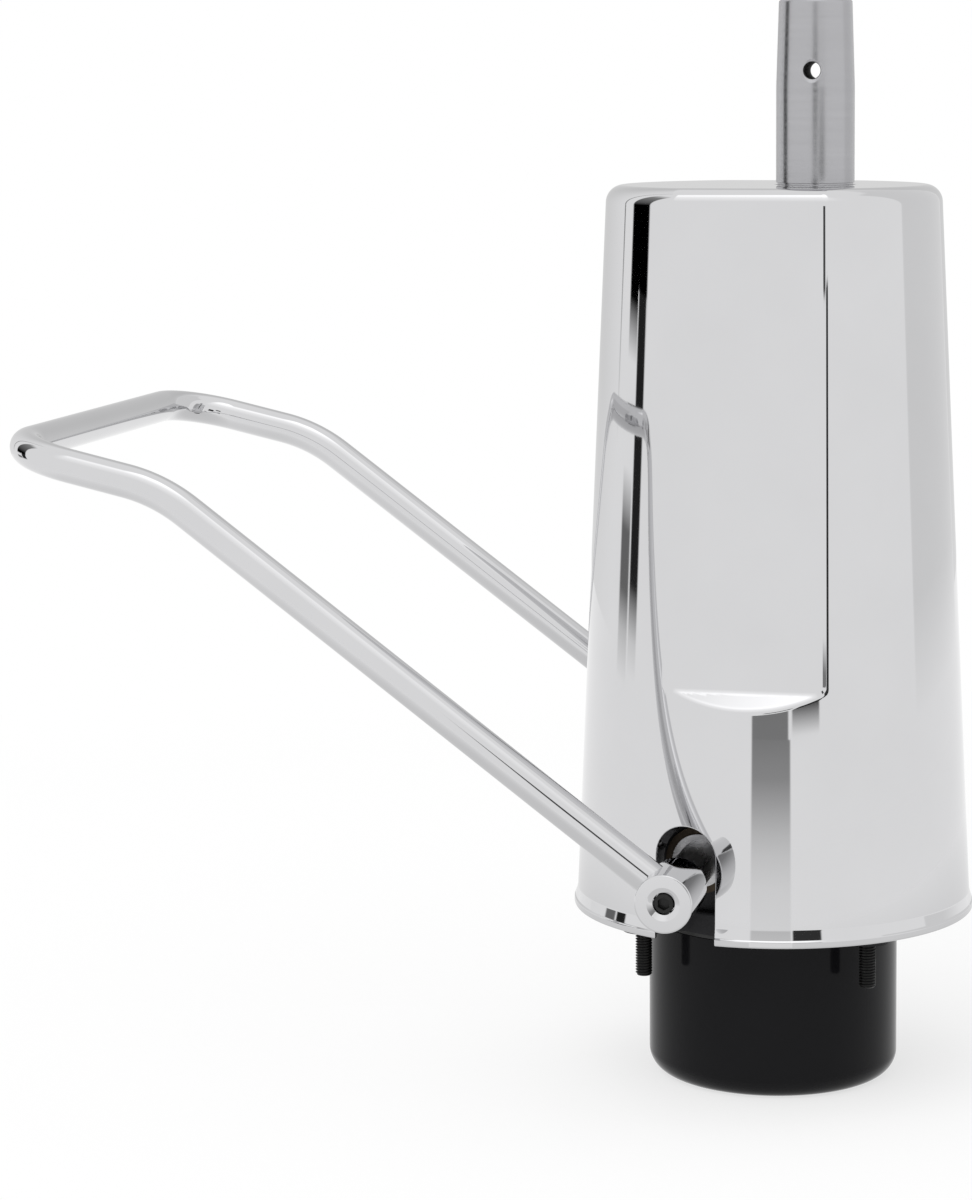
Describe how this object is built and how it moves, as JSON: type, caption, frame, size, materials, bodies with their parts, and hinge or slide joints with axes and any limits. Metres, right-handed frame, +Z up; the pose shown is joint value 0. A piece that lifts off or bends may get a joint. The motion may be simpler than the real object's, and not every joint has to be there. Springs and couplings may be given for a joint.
{
  "type": "hydraulic chair pump",
  "caption": "Foot-pumped hydraulic lift column for a salon chair: chrome tapered cover, U-shaped foot bar, eccentric steel ram, black oil canister.",
  "frame": {"origin": "centre of the bolt pattern on the underside of the flange, where the chair's base meets it", "axes": "+Z up along the ram, foot bar towards -X, its pivot along Y"},
  "size_m": [0.3356, 0.215, 0.3882],
  "materials": {
    "canister_black": "gloss black paint",
    "block_dark": "satin dark grey paint on cast iron",
    "bolt_black": "black oxide steel",
    "chrome": "bright chrome plate",
    "ram_steel": "ground and hard chromed steel, satin",
    "steel": "machined steel",
    "spring_steel": "oiled spring steel",
    "ball_steel": "polished bearing steel",
    "bronze": "sintered bronze",
    "copper": "annealed copper",
    "rubber": "black nitrile rubber",
    "bearing_plastic": "natural nylon",
    "mesh_brass": "fine wire mesh"
  },
  "bodies": {
    "pump_body": {"oil_canister": "canister_black", "canister_gasket": "rubber", "pump_block": "block_dark", "bolt_washers": "bolt_black", "mounting_bolts": "bolt_black", "ram_cylinder": "steel", "foot_plug": "steel", "foot_seal": "rubber", "guide_bush": "bronze", "stop_sleeve": "steel", "rod_seal": "rubber", "gland_nut": "steel", "wiper_ring": "rubber", "cover": "chrome", "cover_pad": "rubber", "pivot_bushes": "bronze", "plunger_barrel": "steel", "plunger_seal": "rubber", "plunger_gland": "steel", "suction_seat": "steel", "strainer": "mesh_brass", "delivery_seat": "steel", "delivery_plug": "steel", "delivery_spring": "spring_steel", "release_ball": "ball_steel", "release_plug": "steel", "release_spring": "spring_steel", "return_spring": "spring_steel", "filler_washer": "copper", "filler_plug": "steel"},
    "pedal": {"foot_bar": "chrome", "hub_near": "chrome", "hub_far": "chrome", "hub_screws": "bolt_black", "pivot_shaft": "steel", "shaft_clips": "steel", "cam": "steel", "cam_pin": "steel"},
    "plunger_set": {"plunger": "steel", "plunger_cap": "steel"},
    "release": {"release_pin": "steel"},
    "suction_check": {"suction_ball": "ball_steel"},
    "delivery_check": {"delivery_ball": "ball_steel"},
    "piston_set": {"piston": "steel", "piston_seal": "rubber", "piston_band": "bearing_plastic", "thrust_washer": "steel"},
    "ram_set": {"ram": "ram_steel", "ram_clip": "steel"}
  },
  "joints": [
    {"name": "pedal_hinge", "type": "hinge", "parent": "pump_body", "child": "pedal", "pos_m": [-0.02, 0, 0.026], "axis": [0, -1, 0], "range_deg": [0, 30], "stiffness_Nm_per_rad": 3, "springref_deg": -40.11},
    {"name": "plunger_slide", "type": "slide", "parent": "pump_body", "child": "plunger_set", "axis": [0, 0, -1], "range_m": [0, 0.0063], "deforming": ["return_spring"]},
    {"name": "release_slide", "type": "slide", "parent": "pump_body", "child": "release", "axis": [0, 0, -1], "range_m": [0, 0.002], "stiffness_N_per_m": 1500, "springref_m": -0.004, "deforming": ["release_spring"]},
    {"name": "suction_lift", "type": "slide", "parent": "pump_body", "child": "suction_check", "axis": [0, 0, 1], "range_m": [0, 0.0015]},
    {"name": "delivery_lift", "type": "slide", "parent": "pump_body", "child": "delivery_check", "axis": [0, 0, 1], "range_m": [0, 0.0015], "stiffness_N_per_m": 300, "springref_m": -0.001, "deforming": ["delivery_spring"]},
    {"name": "ram_lift", "type": "slide", "parent": "pump_body", "child": "piston_set", "axis": [0, 0, 1], "range_m": [0, 0.14]},
    {"name": "ram_swivel", "type": "hinge", "parent": "piston_set", "child": "ram_set", "pos_m": [0.015, 0, 0], "axis": [0, 0, 1], "continuous": true}
  ],
  "couplings": [
    {"joint": "plunger_slide", "follows": "pedal_hinge", "m_per_rad": 0.012}
  ]
}
